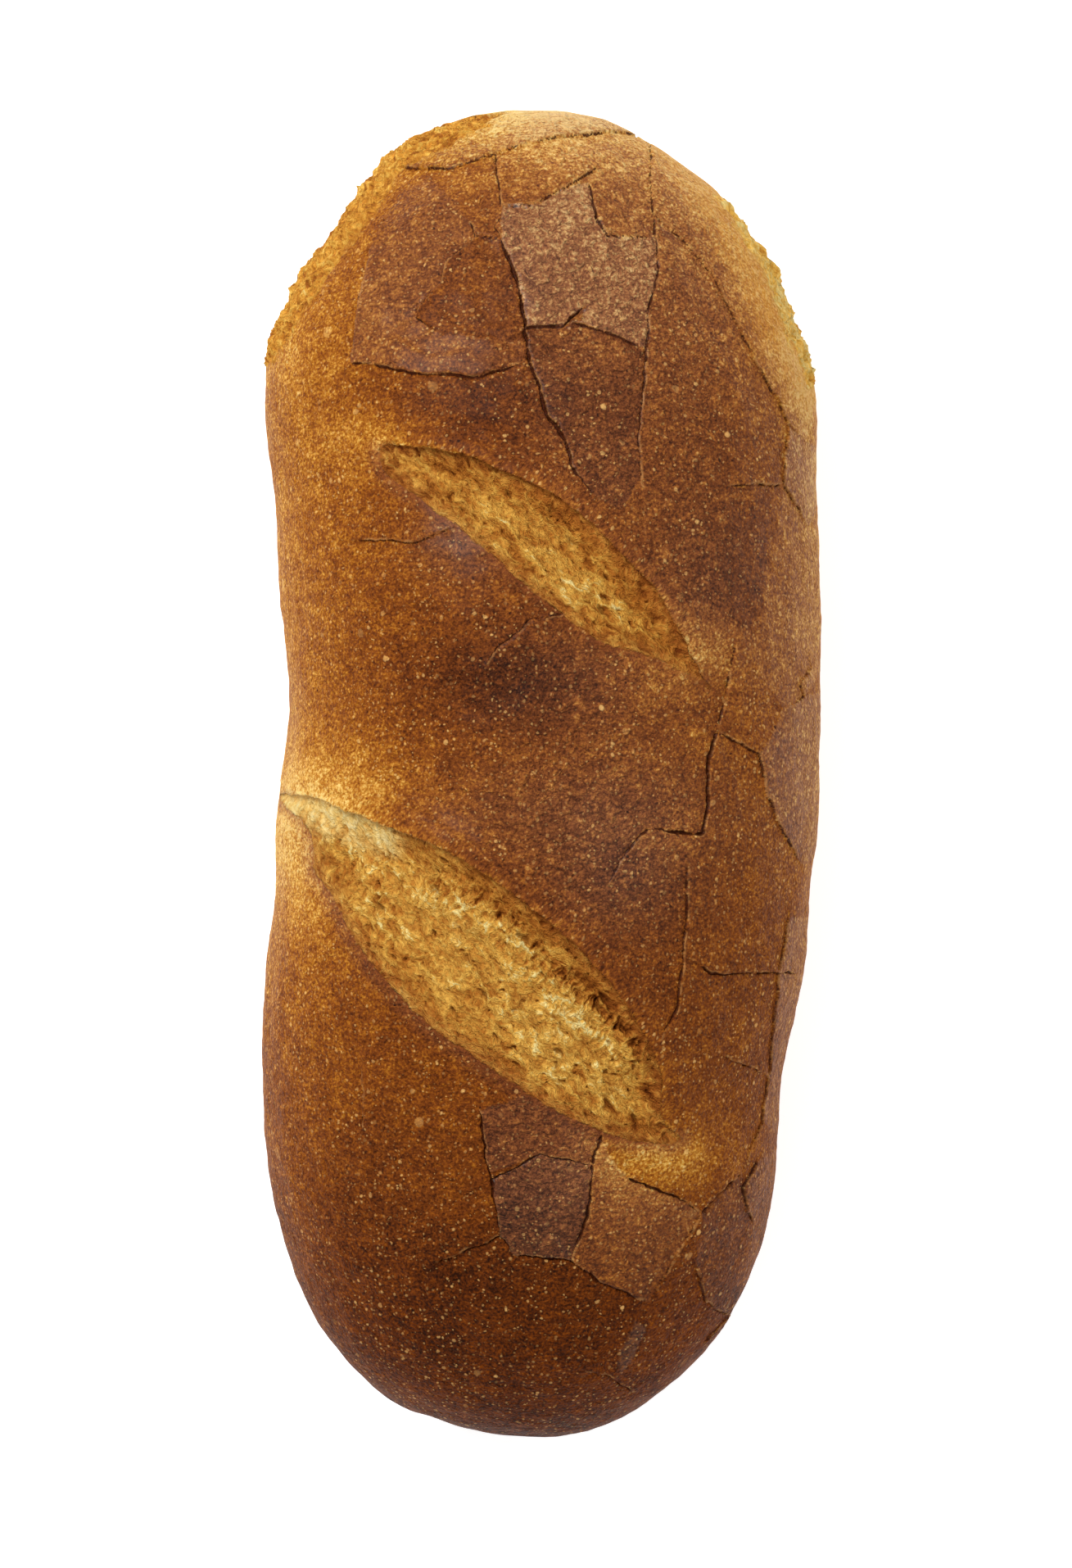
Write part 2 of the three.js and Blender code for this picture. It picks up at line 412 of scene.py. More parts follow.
def grow(carrier, t, values, name):
    """Runs the tree on a carrier object with those input values and returns the plain mesh that it makes."""
    modifier = carrier.modifiers.new("grow", "NODES")
    modifier.node_group = t.tree
    sockets = {s.name: s.identifier for s in t.tree.interface.items_tree if s.in_out == "INPUT"}
    for title, value in values.items():
        modifier[sockets[title]] = value
    graph = bpy.context.evaluated_depsgraph_get()
    mesh = bpy.data.meshes.new_from_object(carrier.evaluated_get(graph))
    mesh.name = name
    carrier.modifiers.remove(modifier)
    return mesh


t, entry, given = shape_tree("loaf_shape", SIZES, guides)
half_length = given["Length"] / 2
half_width = given["Width"] / 2

# A cube's surface grid, blown up to a ball and drawn out into the loaf, so that no point is a pole.
cube_sizes = {"Size": (2, 2, 2), "Vertices X": 120, "Vertices Y": 270, "Vertices Z": 76}
cube = t.node("GeometryNodeMeshCube", None, cube_sizes)
position = t.node("GeometryNodeInputPosition")
turned = t.vector("TANGENT", t.vector("SCALE", position, scale=math.pi / 4))
way = t.vector("NORMALIZE", turned)
way_x, share, way_z = way.parts()
along = share * half_length
ring = ((way_x * way_x + way_z * way_z) ** 0.5).most(1e-6)
across_way = way_x / ring
up_way = way_z / ring
upper = up_way > 0


def swell_at(pairs, place):
    """The same smooth curve through the pairs as the loaf's frame has."""
    total = pairs[0][1]
    for (start, before), (end, after) in zip(pairs, pairs[1:]):
        total = t.step(place, start, end) * (after - before) + total
    return total


def fullness(power):
    """How full an outline still is at a place along the loaf: 1 in the middle, 0 at its ends."""
    return (1 - abs(share) ** power).most(0) ** 0.5


def rounding(wire):
    """A section's rounding, squarer below the waist."""
    return t.mix(upper, abs(wire) ** (2 / LOW_SECTION_POWER), abs(wire) ** (2 / TOP_SECTION_POWER))


plan = fullness(PLAN_POWER)
swell = t.mix(across_way > 0, swell_at(LEFT_SWELL, along), swell_at(RIGHT_SWELL, along))
half_here = half_width * plan + swell * (2 * plan).least(1)
side = (across_way > 0) * 2 - 1
across = side * rounding(across_way) * half_here
crown = (given["Height"] + swell_at(CROWN_SWELL, along) - given["Waist"]) * fullness(CROWN_POWER)
drop = (given["Waist"] + given["Sag"]) * fullness(FOOT_POWER) * -1
height = given["Waist"] + t.mix(upper, drop, crown) * rounding(up_way)
surface = t.point(across, along, height.most(0))
body = t.node("GeometryNodeSetPosition", None, {"Geometry": cube.out("Mesh"), "Position": surface})
extent = t.node("GeometryNodeBoundBox", None, {"Geometry": body})
middle = t.vector("SCALE", t.vector("ADD", extent.out("Min"), extent.out("Max")), scale=-0.5)
middle_x, middle_y, _ = middle.parts()
body = t.node("GeometryNodeSetPosition", None, {"Geometry": body, "Offset": t.point(middle_x, middle_y, 0)})


def keep(geometry, title, value, kind="FLOAT"):
    """Stores a value on the mesh's points."""
    values = {"Geometry": geometry, "Name": title, "Value": value}
    return t.node("GeometryNodeStoreNamedAttribute", {"data_type": kind, "domain": "POINT"}, values)


# Everything below reads the plain loaf's place and the way its surface faces there.
body = keep(body, "plain_place", position, "FLOAT_VECTOR")
plain_body = keep(body, "plain_facing", t.node("GeometryNodeInputNormal"), "FLOAT_VECTOR")
body = t.node(
    "GeometryNodeSwitch",
    {"input_type": "GEOMETRY"},
    {"Switch": entry.out("Refined"), "False": plain_body, "True": entry.out("Geometry")},
)


def stored(title, kind="FLOAT"):
    """A value that the mesh's points hold."""
    return t.node("GeometryNodeInputNamedAttribute", {"data_type": kind}, {"Name": title}).out("Attribute")


place = stored("plain_place", "FLOAT_VECTOR")
facing = stored("plain_facing", "FLOAT_VECTOR")
place_x, place_y, place_z = place.parts()
from_above = t.point(place_x, place_y, 0)
WANDER = 1.1  # how far edges and cracks stray from their drawn lines
wander = t.point(t.noise(place, 5, 4, 0.65, 1) * WANDER, t.noise(place, 5, 4, 0.65, 2) * WANDER, 0)
ragged = t.vector("ADD", from_above, wander)


def nearest_on(lines, wanted):
    """The nearest point of the lines to each place."""
    values = {"Geometry": lines, "Sample Position": wanted}
    return t.node("GeometryNodeProximity", {"target_element": "EDGES"}, values)


def distance_to(lines, wanted):
    return nearest_on(lines, wanted).out("Distance")


def look_down(target, place, over, more=None, settings=None):
    """A ray cast straight down on the target from that height over the place."""
    values = {
        "Target Geometry": target,
        "Source Position": t.vector("ADD", place, (0, 0, over)),
        "Ray Direction": (0, 0, -1),
        **(more or {}),
    }
    return t.node("GeometryNodeRaycast", settings, values)


def inside(outline, wanted):
    """1 where the plan place lies in the outline."""
    return look_down(outline, wanted, 50, {"Ray Length": 100}).out("Is Hit")


SLASH_FOOT = 27  # the slashes stop at this height, where the sides turn in
LIP_WIDTH = 9  # of the crust that lifted along a slash, and of the slope down to the slash's full depth


def slash(kind):
    """How far a place is inside one slash and from its two edges, how deep it sinks, and the lifted lip."""
    within = inside(given[kind + " Leaf"], ragged) * (place_z > SLASH_FOOT)
    under_waist = (SLASH_FOOT + 3 - place_z).most(0)
    to_lifted = distance_to(given[kind + " Lifted Edge"], ragged) + under_waist
    to_low = distance_to(given[kind + " Low Edge"], ragged) + under_waist
    how_far_in = (within * 2 - 1) * to_lifted.least(to_low)
    from_low = to_low / (to_low + to_lifted).most(0.01)
    opening = t.step(to_low.least(to_lifted), 0, LIP_WIDTH) ** 0.5
    deep = given[kind + " Depth"] * t.step(from_low, 0, 0.75) * t.step(to_lifted, -0.2, 0.9)
    sunk = deep * opening * within
    lip = (1 - within) * t.step(to_lifted, LIP_WIDTH, 0) * t.step(to_low, 1, 12)
    return how_far_in, to_lifted, to_low, sunk, lip


narrow_in, narrow_lifted, narrow_low, narrow_sunk, narrow_lip = slash("Narrow")
wide_in, wide_lifted, wide_low, wide_sunk, wide_lip = slash("Wide")
slash_in = narrow_in.most(wide_in)
slash_open = slash_in > 0
to_lifted = narrow_lifted.least(wide_lifted)
to_low = narrow_low.least(wide_low)
lip = narrow_lip + wide_lip

# The torn corners reach from their outlines down to a rounded, uneven lower edge over the floor.
TORN_MIDDLE = 113  # the place along the loaf where they reach lowest
TORN_HALF_LENGTH = 31
TORN_LOWEST = 9
TORN_RISE = 24  # of their lower edge, from there to their ends
FRAY = 3.2  # how far their outlines stray
fray = t.point(t.noise(place, 4, 3, 0.65, 3) * FRAY, t.noise(place, 4, 3, 0.65, 4) * FRAY, 0)
torn_place = t.vector("ADD", from_above, fray)
torn_in = (inside(given["Torn Corners"], torn_place) * 2 - 1) * distance_to(given["Torn Corners"], torn_place)
from_middle = (place_y - TORN_MIDDLE) / TORN_HALF_LENGTH
torn_floor = from_middle * from_middle * TORN_RISE + TORN_LOWEST
torn_floor = torn_floor + t.noise(place, 26, 3, 0.6, 38) * 9 + t.noise(place, 6, 3, 0.6, 47) * 3
torn_in = torn_in.least(place_z - torn_floor)
torn = t.step(torn_in, -0.2, 0.5)

# The crumb's texture, which the shape and the colour share: pores of many sizes, and torn strands.
SLASH_TURN = math.radians(38)  # of both slashes, from straight across the loaf


def along_slash(tree, place):
    """A place turned so that its first number runs along the slashes."""
    values = {"Vector": place, "Angle": SLASH_TURN}
    return tree.node("ShaderNodeVectorRotate", {"rotation_type": "Z_AXIS"}, values)


def ridged(tree, place, size, seed, roughness=0.5):
    """Thin raised strands, as between bubbles that have torn open: 1 on a strand, down to -1."""
    return (1 - abs(tree.noise(place, size, 2, roughness, seed)) * 3.2).most(-1)


def pores(tree, place, size, seed, least, most):
    """Round pits, each of its own width, in cells of that size: 1 at their floor."""
    cell = tree.cells(place, size, seed=seed)
    luck, _, _ = cell.out("Color").parts()
    reach = tree.mix(luck ** 2, least, most)
    return tree.step(cell.out("Distance") / reach, 1, 0.4)


def crumb_texture(tree, place, ridge):
    """The crumb's strands, lumps and pores, drawn out along the slash, but across it on the torn ridge."""
    bends = [tree.noise(place, 4, 2, 0.6, seed) * 1.6 for seed in (5, 6, 26)]
    turned = tree.vector("ADD", along_slash(tree, place), tree.point(*bends))
    drawn_out = tree.vector("MULTIPLY", turned, (0.45, 1, 1))
    crossing = tree.vector("MULTIPLY", turned, (1, 0.3, 1))
    coarse = ridged(tree, drawn_out, 3.4, 7) * 0.5 + ridged(tree, drawn_out, 1.5, 17) * 0.5
    across = ridged(tree, crossing, 1.6, 9)
    strands = tree.mix(ridge, coarse, across)
    walls = tree.step(tree.cells(drawn_out, 2.8, "DISTANCE_TO_EDGE", seed=8), 0.2, 0.02)
    bubbly = tree.step(tree.noise(drawn_out, 6, 2, 0.5, 52), -0.3, 0.4)
    strands = strands * 0.85 + (walls - 0.3) * bubbly * 0.7
    lumps = tree.noise(drawn_out, 5, 3, 0.6, 8)
    pitted = pores(tree, drawn_out, 3.2, 1, 0.1, 0.36).most(pores(tree, drawn_out, 1.5, 2, 0.14, 0.4) * 0.7)
    return strands, lumps, pitted, drawn_out


ridge_away = distance_to(given["Torn Ridge"], ragged)
ridge = t.step(ridge_away + t.noise(place, 5, 2, 0.5, 19) * 2.5, 7, 1) * (wide_in > 0)
beyond_ridge = t.vector("SUBTRACT", ragged, (2.4, 2.7, 0))  # a valley runs beside the ridge
valley_away = distance_to(given["Torn Ridge"], beyond_ridge) + t.noise(place, 3, 2, 0.5, 20) * 1.6
valley = t.step(valley_away, 3.4, 0.8) * (wide_in > 0)
strands, lumps, pitted, _ = crumb_texture(t, place, ridge)
skin_away = distance_to(given["Pale Skin"], ragged)
skin = t.step(skin_away + t.noise(place, 5, 3, 0.6, 37) * 3.5, 6, 0.5) * (wide_in > -1)
crumb_relief = lumps * 0.8 + strands * 0.34 - pitted * given["Pore Depth"]
crumb_relief = crumb_relief + ridge * 1.7 - valley * (1.6 - strands * 0.7) + skin * 0.7
torn_lumps = t.noise(place, 7, 4, 0.65, 10) * 2.6 + t.noise(place, 2.2, 3, 0.7, 39) * 1.6
torn_relief = torn_lumps - pitted * 0.5 - 0.3
open_crumb = slash_open.most(torn)

# Cracks run down through the crust. Their lines are laid on the plain loaf first.
curve = t.node("GeometryNodeMeshToCurve", None, {"Mesh": given["Cracks"]})
curve = t.node("GeometryNodeResampleCurve", {"mode": "LENGTH"}, {"Curve": curve, "Length": 0.5})
landed = look_down(body, position, 150, {"Ray Length": 200}).out("Hit Position")
curve = t.node("GeometryNodeSetPosition", None, {"Geometry": curve, "Position": landed})
spot = t.node("GeometryNodeSplineParameter").out("Factor")
curve = keep(curve, "taper", t.step(spot, 0, 0.04, 0.35) * t.step(spot, 1, 0.8, 0.15))
curve = keep(curve, "heading", t.node("GeometryNodeInputTangent"), "FLOAT_VECTOR")
crack_lines = t.node("GeometryNodeCurveToMesh", None, {"Curve": curve})
crack_place = t.vector("ADD", place, wander)
crack_values = {"Geometry": crack_lines, "Sample Position": crack_place}
nearest = t.node("GeometryNodeSampleNearest", {"domain": "POINT"}, crack_values)


def of_crack(title, kind="FLOAT"):
    """A value of the nearest crack, at its nearest point."""
    values = {"Geometry": crack_lines, "Value": stored(title, kind), "Index": nearest}
    return t.node("GeometryNodeSampleIndex", {"data_type": kind, "domain": "POINT"}, values)


crust_only = 1 - open_crumb
near_crack = nearest_on(crack_lines, crack_place)
crack_away = near_crack.out("Distance")
note_width, _, _ = of_crack("note", "FLOAT_VECTOR").parts()
on_top = t.step(place_z, 24, 36)  # cracks and plates fade where the sides turn in
uneven = (1.05 + t.noise(place, 4, 3, 0.6, 13) * 1.6).most(0.3)
crack_width = note_width * on_top * of_crack("taper") * uneven
from_crack = t.vector("SUBTRACT", crack_place, near_crack.out("Position"))
_, _, turn = t.vector("CROSS_PRODUCT", of_crack("heading", "FLOAT_VECTOR"), from_crack).parts()
crack_side = ((turn > 0) * 2 - 1) * t.step(crack_away, 14, 0) * of_crack("taper")
crack_width = crack_width.most(0.001)
FINEST_CRACK = 0.06  # narrower ones are left out
crack = t.step(crack_away * 2 / crack_width, 1.3, 0.4) * crust_only * (crack_width > FINEST_CRACK)

# The crust's own relief: soft swellings from gas, wrinkles along the slashes' lips, and plates at odds.
plate_values = {"Attribute": stored("note", "FLOAT_VECTOR"), "Ray Length": 100}
plate_settings = {"data_type": "FLOAT_VECTOR"}
plate_note = look_down(given["Plates"], ragged, 50, plate_values, plate_settings).out("Attribute")
plate_darker, plate_sheen, _ = plate_note.parts()
plate_darker = plate_darker * on_top
plate_sheen = plate_sheen * on_top
plate_away = distance_to(given["Plates"], ragged)
soft_lumps = t.noise(place, 46, 2, 0.5, 14) * 1.1 + t.noise(place, 15, 3, 0.5, 15) * 0.7
grain = along_slash(t, place)
wrinkles = t.noise(t.vector("MULTIPLY", grain, (0.7, 1.3, 1)), 4.5, 3, 0.55, 16) * 0.34
grain_x, _, _ = grain.parts()
folds = t.noise(t.point(to_lifted, grain_x * 0.12, 0), 1.4, 2, 0.5, 36) * 0.3
lip_folds = folds * t.step(to_lifted, 10, 2) * lip
crust_relief = (
    soft_lumps
    + (wrinkles + lip_folds + plate_sheen * 0.12 + crack_side * given["Crack Step"]) * crust_only
    + lip * given["Lip Rise"]
    - crack * given["Crack Depth"] * crack_width.least(0.8)
)
relief = (
    crust_relief
    - narrow_sunk
    - wide_sunk
    + slash_open * crumb_relief * t.step(to_low.least(to_lifted), 0, 3)
    + torn * torn_relief
)
off_floor = t.step(place_z, 0.3, 7)
moved = t.vector("SCALE", facing, scale=relief * off_floor)
# The lifted lip leans over the crumb, and the crumb's edge reaches under it.
leaning = t.step(to_lifted, 2.2, 0) * lip - t.step(to_lifted, 3, 0.6) * slash_open * 0.6
leaning = leaning * given["Lip Reach"]
over_crumb = (-math.sin(SLASH_TURN), -math.cos(SLASH_TURN), 0)
moved = t.vector("ADD", moved, t.vector("SCALE", over_crumb, scale=leaning))
body = t.node("GeometryNodeSetPosition", None, {"Geometry": body, "Offset": moved})

# What the colours need to know about each place.
for title, value in {
    "slash_in": slash_in.most(-12).least(12),
    "to_lifted": to_lifted.least(30),
    "to_low": to_low.least(30),
    "torn_in": torn_in.most(-12).least(12),
    "ridge": ridge,
    "valley": valley,
    "skin": skin,
    "crack_away": crack_away.least(6),
    "crack_width": crack_width,
    "crack_side": crack_side,
    "plate_darker": plate_darker,
    "plate_sheen": plate_sheen,
}.items():
    body = keep(body, title, value)
in_metres = t.node("GeometryNodeTransform", None, {"Geometry": body, "Scale": (1 / MM, 1 / MM, 1 / MM)})

# First the plain loaf comes out, with the number of times that each place is to be split for its detail:
# twice in the slashes and along cracks, once in the torn corners, round the plates and on the lifted lips.
splits = ((slash_in > -0.8) * 2).most(torn_in > -1)
splits = splits.most((crack_away < 1.1) * (crack_width > 0.05) * 2)
splits = splits.most(plate_away < 0.7).most(lip > 0.3)
plain_loaf = keep(plain_body, "splits", splits)
bread = bpy.data.materials.new("baked_bread")
chosen = t.node(
    "GeometryNodeSwitch",
    {"input_type": "GEOMETRY"},
    {"Switch": entry.out("Refined"), "False": plain_loaf, "True": in_metres},
)
finished = t.node("GeometryNodeRealizeInstances", None, {"Geometry": chosen})
finished = t.node("GeometryNodeSetMaterial", None, {"Geometry": finished, "Material": bread})
t.node("NodeGroupOutput", None, {0: finished})

loaf_crust = bpy.data.objects.new("loaf_crust", bpy.data.meshes.new("empty_dough"))
bpy.context.scene.collection.objects.link(loaf_crust)
loaf_crust.data = grow(loaf_crust, t, {**SIZES, **guides}, "plain_loaf")
for level in (1, 2):  # the places marked 2 are split in both rounds
    shape = bmesh.new()
    shape.from_mesh(loaf_crust.data)
    wanted = shape.verts.layers.float["splits"]
    edges = [e for e in shape.edges if max(v[wanted] for v in e.verts) > level - 0.5]
    bmesh.ops.subdivide_edges(shape, edges=edges, cuts=1, use_grid_fill=True)
    shape.to_mesh(loaf_crust.data)
    shape.free()
dense = grow(loaf_crust, t, {**SIZES, **guides, "Refined": True}, "loaf_crust")
loaf_crust.data = dense

# The mesh is finer than the smooth crust needs, so it is thinned there.
MOST_TRIANGLES = 196_000
triangles = sum(len(face.vertices) - 2 for face in dense.polygons)
thinning = loaf_crust.modifiers.new("thin", "DECIMATE")
thinning.ratio = min(1, MOST_TRIANGLES / triangles)
graph = bpy.context.evaluated_depsgraph_get()
thinned = bpy.data.meshes.new_from_object(loaf_crust.evaluated_get(graph))
loaf_crust.modifiers.remove(thinning)
loaf_crust.data = thinned
thinned.name = "loaf_crust"
thinned.shade_smooth()


rest_places = np.empty(len(thinned.vertices) * 3, np.float32)
thinned.attributes["plain_place"].data.foreach_get("vector", rest_places)
rest_x, rest_y, rest_z = rest_places.reshape(-1, 3).T


def with_patches(base, patches):
    """A number for every point, raised or lowered from the base in soft patches."""
    total = np.full(len(rest_x), base)
    for x, y, reach_x, reach_y, amount in patches:
        total += amount * np.exp(-(((rest_x - x) / reach_x) ** 2) - ((rest_y - y) / reach_y) ** 2)
    return total


def write(title, numbers):
    """Stores a number on every point."""
    thinned.attributes.new(title, "FLOAT", "POINT").data.foreach_set("value", numbers.astype(np.float32))


# How long each part of the crust baked brown: soft patches, as (x, y, reach across, reach along, more or
# less).
TOASTED = [
    (-9, 20, 18, 13, 0.25),
    (-14, 76, 16, 8, 0.19),
    (38, 38, 12, 18, 0.08),
    (5, 85, 26, 26, 0.05),
    (20, -34, 30, 26, 0.07),
    (0, -125, 60, 34, 0.2),
    (0, -148, 60, 12, 0.2),
    (5, -122, 18, 14, -0.06),
    (12, -88, 16, 14, -0.08),
    (0, 150, 50, 18, -0.55),
    (14, 118, 28, 26, -0.12),
    (34, 128, 14, 16, -0.14),
    (-10, -95, 40, 24, 0.06),
    (-20, 110, 20, 20, 0.05),
    (-36, 0, 18, 150, 0.08),
    (-55, 20, 26, 110, -0.18),
    (-52, -10, 18, 20, -0.28),
    (-34, -4, 16, 6, -0.1),
    (-50, 105, 18, 34, -0.16),
    (-34, 70, 10, 6, -0.24),
    (55, 110, 14, 34, -0.16),
    (62, 20, 10, 70, -0.22),
    (-38, 80, 14, 10, 0.08),
    (-40, -98, 18, 30, 0.05),
    (20, 2, 30, 16, -0.06),
    (26, -12, 7, 5, -0.14),
    (31, 25, 13, 8, -0.32),
    (24, -80, 15, 7, -0.33),
    (0, 105, 70, 50, -0.045),
    (-9, 27, 12, 4, -0.08),
    (11, 88, 9, 6, -0.07),
    (38, 104, 8, 10, -0.08),
    (60, 62, 6, 12, -0.12),
    (-50, 104, 9, 12, 0.12),
]
EVEN_TOAST = 0.525  # of the crust without its patches
toast = with_patches(EVEN_TOAST, TOASTED)
SHADED_BELOW = 45  # height under which the sides baked less, the lower the less
toast -= 0.16 * np.clip((SHADED_BELOW - rest_z) / SHADED_BELOW, 0, 1) ** 1.5
write("toast", toast)

# Violet-brown where the crust is darkest and smoothest, and shines: a glossier coat, and its colour blended
# towards greyish purple, partly its own tone and partly painted reflection.
VIOLET_AND_SHEEN_PATCHES = [
    (20, 40, 34, 90, 0.22),
    (10, 118, 34, 34, 0.34),
    (3, 19, 15, 11, 0.3),
    (8, 75, 10, 16, 0.2),
    (15, -22, 14, 10, 0.4),
    (8, -8, 28, 11, 0.4),
    (-17, 48, 9, 7, 0.4),
    (38, 38, 14, 18, 0.3),
    (36, 100, 22, 50, 0.2),
]
write("violet_and_sheen", np.clip(with_patches(0.0, VIOLET_AND_SHEEN_PATCHES), 0, 1))


def tint(red, green, blue):
    """A colour given as it shows on a screen, from 0 to 255, in the linear light that shaders use."""
    return (*(((c / 255 + 0.055) / 1.055) ** 2.4 for c in (red, green, blue)), 1)


def ramp(wire, stops):
    """A colour ramp through (place, colour) stops."""
    made = s.node("ShaderNodeValToRGB", None, {0: wire})
    elements = made.socket.node.color_ramp.elements
    while len(elements) < len(stops):
        elements.new(1)
    for element, (spot, colour) in zip(elements, stops):
        element.position = spot
        element.color = colour
    return made


bread.use_nodes = True
s = Tree(bread.node_tree)
s.tree.nodes.clear()


def painted(title):
    """A number that was stored on the points."""
    return s.node("ShaderNodeAttribute", {"attribute_name": title}).out("Fac")


place = s.node("ShaderNodeAttribute", {"attribute_name": "plain_place"}).out("Vector")
place_x, place_y, place_z = place.parts()
frayed = s.noise(place, 1.2, 3, 0.65, 40)
how_far_in = painted("slash_in") + frayed * 0.7
slash_open = s.step(how_far_in, -0.25, 0.3)
torn = s.step(painted("torn_in") + frayed * 1.2 + s.noise(place, 3, 3, 0.6, 49) * 2, -1.2, 0.6)
crumb = slash_open.most(torn)
ridge = painted("ridge")
valley = painted("valley")
skin = painted("skin")

# The sides, which are not seen from above, are tinted in big warped patches, down to just over the floor;
# the same patches vary its painted sheen.
side_now = s.step(place_z, 50, 40) * s.step(place_z, 3, 12)
side_bends = [s.noise(place, 12, 4, 0.6, seed) * 9 for seed in (31, 32, 33)]
side_cells = s.cells(s.vector("ADD", place, s.point(*side_bends)), 30, seed=3)
side_luck, side_chance, _ = side_cells.out("Color").parts()


def dots(size, seed, least, most, share, soft=0.5):
    """Dots a little out of round in cells of that size, in a share of the cells, each as pale as its luck."""
    bend = s.point(frayed * 0.32, s.noise(place, 1.1, 2, 0.6, 41) * 0.32, frayed * 0.2)
    bent = s.vector("ADD", place, bend)
    cell = s.cells(bent, size, seed=seed)
    luck, chance, paleness = cell.out("Color").parts()
    reach = s.mix(luck ** 2, least, most)
    return s.step(cell.out("Distance") / reach, 1, soft) * (chance < share) * (paleness * 0.8 + 0.2)


# How dark the crust is, from 0 for straw to 1 for the darkest brown: mottled toast at every scale, paler on
# its countless tiny blisters, with painted shade in its pits and creases and a painted highlight beside the
# lifted lips.
specks = dots(0.95, 4, 0.24, 0.5, 0.6)
beads = dots(2.2, 5, 0.13, 0.3, 0.6)
blisters = dots(6.5, 6, 0.06, 0.13, 0.6, 0.7)
discs = dots(11, 7, 0.06, 0.15, 0.6, 0.8)
# Small pits in the crust, darkened as painted shade.
pits = dots(1.5, 8, 0.12, 0.3, 0.5)
patchy = s.noise(place, 24, 3, 0.6, 1) * 0.07 + s.noise(place, 6, 4, 0.65, 2) * 0.17
streaky = s.noise(s.vector("MULTIPLY", place, (0.8, 1.1, 1)), 2, 3, 0.7, 3) * 0.24
gritty = s.noise(place, 0.6, 2, 0.6, 42)
plate_toast_and_lip_highlight = painted("plate_darker") + (side_luck - 0.5) * 0.1 * side_now
outside_low = s.step(painted("to_low"), 4.5, 0.5) * (painted("slash_in") < 0)
# A thin painted highlight along the crust just outside each lifted lip makes it paler.
painted_lip_highlight = s.step(painted("to_lifted"), 1.6, 0.2) * (painted("slash_in") < 0)
plate_toast_and_lip_highlight = plate_toast_and_lip_highlight + outside_low * 0.04 - painted_lip_highlight * 0.08
sheen = painted("plate_sheen").most(painted("violet_and_sheen"))
sheen = sheen.most(outside_low * 0.3).most(side_chance * side_now * 0.2)
creases = ridged(s, s.vector("MULTIPLY", place, (0.85, 1.1, 1)), 2.6, 48, 0.7)
far_right = s.step(place_x, 0, 30)
gilded = s.step(painted("torn_in") + s.noise(place, 8, 3, 0.6, 53) * 2, -12, 0)
toast_and_painted_shade = painted("toast") - gilded * (far_right * 0.2 + 0.03) + plate_toast_and_lip_highlight + patchy + streaky
# Painted shade: the crust is darker in its small pits and along its creases.
toast_and_painted_shade = toast_and_painted_shade + gritty * 0.48 + pits * 0.3 + creases * (sheen * 0.2 + 0.06)
dotted = (specks * 0.8).most(beads).most(blisters).most(discs * 0.5)
dotted = dotted * s.step(s.noise(place, 13, 3, 0.6, 54), -0.4, 0.25, 0.35, 1)
toast_and_painted_shade = toast_and_painted_shade - dotted * 0.25
CRUST_COLOURS = [
    (0.0, tint(244, 206, 124)),
    (0.15, tint(222, 166, 74)),
    (0.3, tint(188, 121, 36)),
    (0.45, tint(154, 86, 20)),
    (0.6, tint(124, 62, 16)),
    (0.8, tint(88, 40, 10)),
    (1.0, tint(46, 19, 6)),
]
PURPLE_TONE_AND_PAINTED_SHEEN_COLOURS = [
    (0.1, tint(214, 168, 122)),
    (0.4, tint(164, 108, 74)),
    (0.7, tint(112, 68, 46)),
    (1.0, tint(60, 33, 24)),
]
crust_colour = ramp(toast_and_painted_shade, CRUST_COLOURS)
purple_tone_and_painted_sheen = ramp(toast_and_painted_shade, PURPLE_TONE_AND_PAINTED_SHEEN_COLOURS)
# Where the crust shines, its colour is blended towards greyish purple: painted reflection of the light, with
# some of the crust's own purple-brown tone.
crust_colour = s.blend(sheen * 0.65 * (1 - gilded), crust_colour, purple_tone_and_painted_sheen)
ruddy = s.blend(s.step(place_y, -80, -125), (1, 1, 1, 1), (1, 0.92, 0.55, 1))  # towards the loaf's near end
crust_colour = s.vector("MULTIPLY", crust_colour, ruddy)
crust_colour = s.blend(gilded * far_right * 0.5, crust_colour, tint(208, 136, 48))
crust_colour = s.blend(dotted * 0.85, crust_colour, tint(232, 180, 108))

# Cracks are dark, from their crust walls and from painted shade down in the narrow gap, with a thin broken
# rim of paler crust along one side.
crack_away = painted("crack_away")
crack_width = painted("crack_width").most(0.001)
cracked = s.step((crack_away + frayed * 0.05) * 2 / crack_width, 1.25, 0.6) * (crack_width > FINEST_CRACK)
rim = s.step(crack_away, 0.75, 0.3) * s.step(painted("crack_side"), -0.2, 0.4)
rim = rim * s.step(s.noise(place, 3, 2, 0.6, 43), -0.2, 0.3)
crust_colour = s.blend(rim * (crack_width > FINEST_CRACK) * 0.55, crust_colour, tint(196, 138, 78))
crust_colour = s.blend(cracked * 0.92, crust_colour, tint(72, 29, 12))

# Crumb: strands of gold over brown, darker and more orange beside the crust, paler where it tore last.
strands, lumps, pitted, drawn_out = crumb_texture(s, place, ridge)
fine_strands = ridged(s, drawn_out, 0.6, 44, 0.6)
fluff = s.noise(drawn_out, 1.7, 4, 0.72, 45)
to_edge = painted("to_low").least(painted("to_lifted"))
baked_edge = s.step(to_edge + lumps * 2, 8, 0.5) * (1 - skin)
# The crumb under the lifted lip is darker: partly toasted, partly painted shade of the lip.
toast_and_shade_under_lip = s.step(painted("to_lifted") + lumps * 1.5, 9, 2) * (1 - skin)
